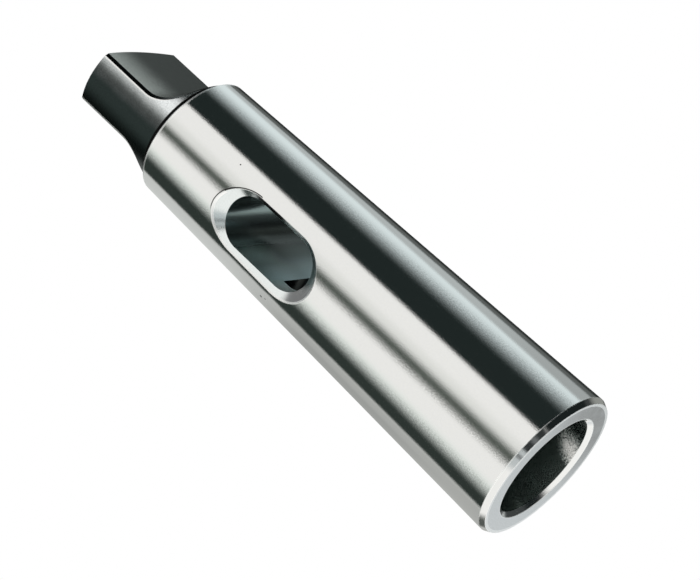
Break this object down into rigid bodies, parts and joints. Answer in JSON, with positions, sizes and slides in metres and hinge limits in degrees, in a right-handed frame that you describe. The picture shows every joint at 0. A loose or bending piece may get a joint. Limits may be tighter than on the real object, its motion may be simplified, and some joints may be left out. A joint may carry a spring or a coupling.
{
  "type": "morse taper sleeve",
  "caption": "One-piece ground steel reduction sleeve: tapered shank with a flat tang, tapered socket in its mouth and a chamfered drift slot through the body.",
  "frame": {"origin": "centre of the mouth ring, which is the big flat end that the sleeve stands on", "axes": "+Z along the axis from the mouth to the tang; the drift slot goes through along Y; the tang's flats face +X and -X"},
  "size_m": [0.0454, 0.0454, 0.171],
  "materials": {
    "ground_steel": "hardened steel, tapers and mouth finely ground, tang and slot left darker"
  },
  "bodies": {
    "root": {"taper_sleeve": "ground_steel"}
  },
  "joints": []
}
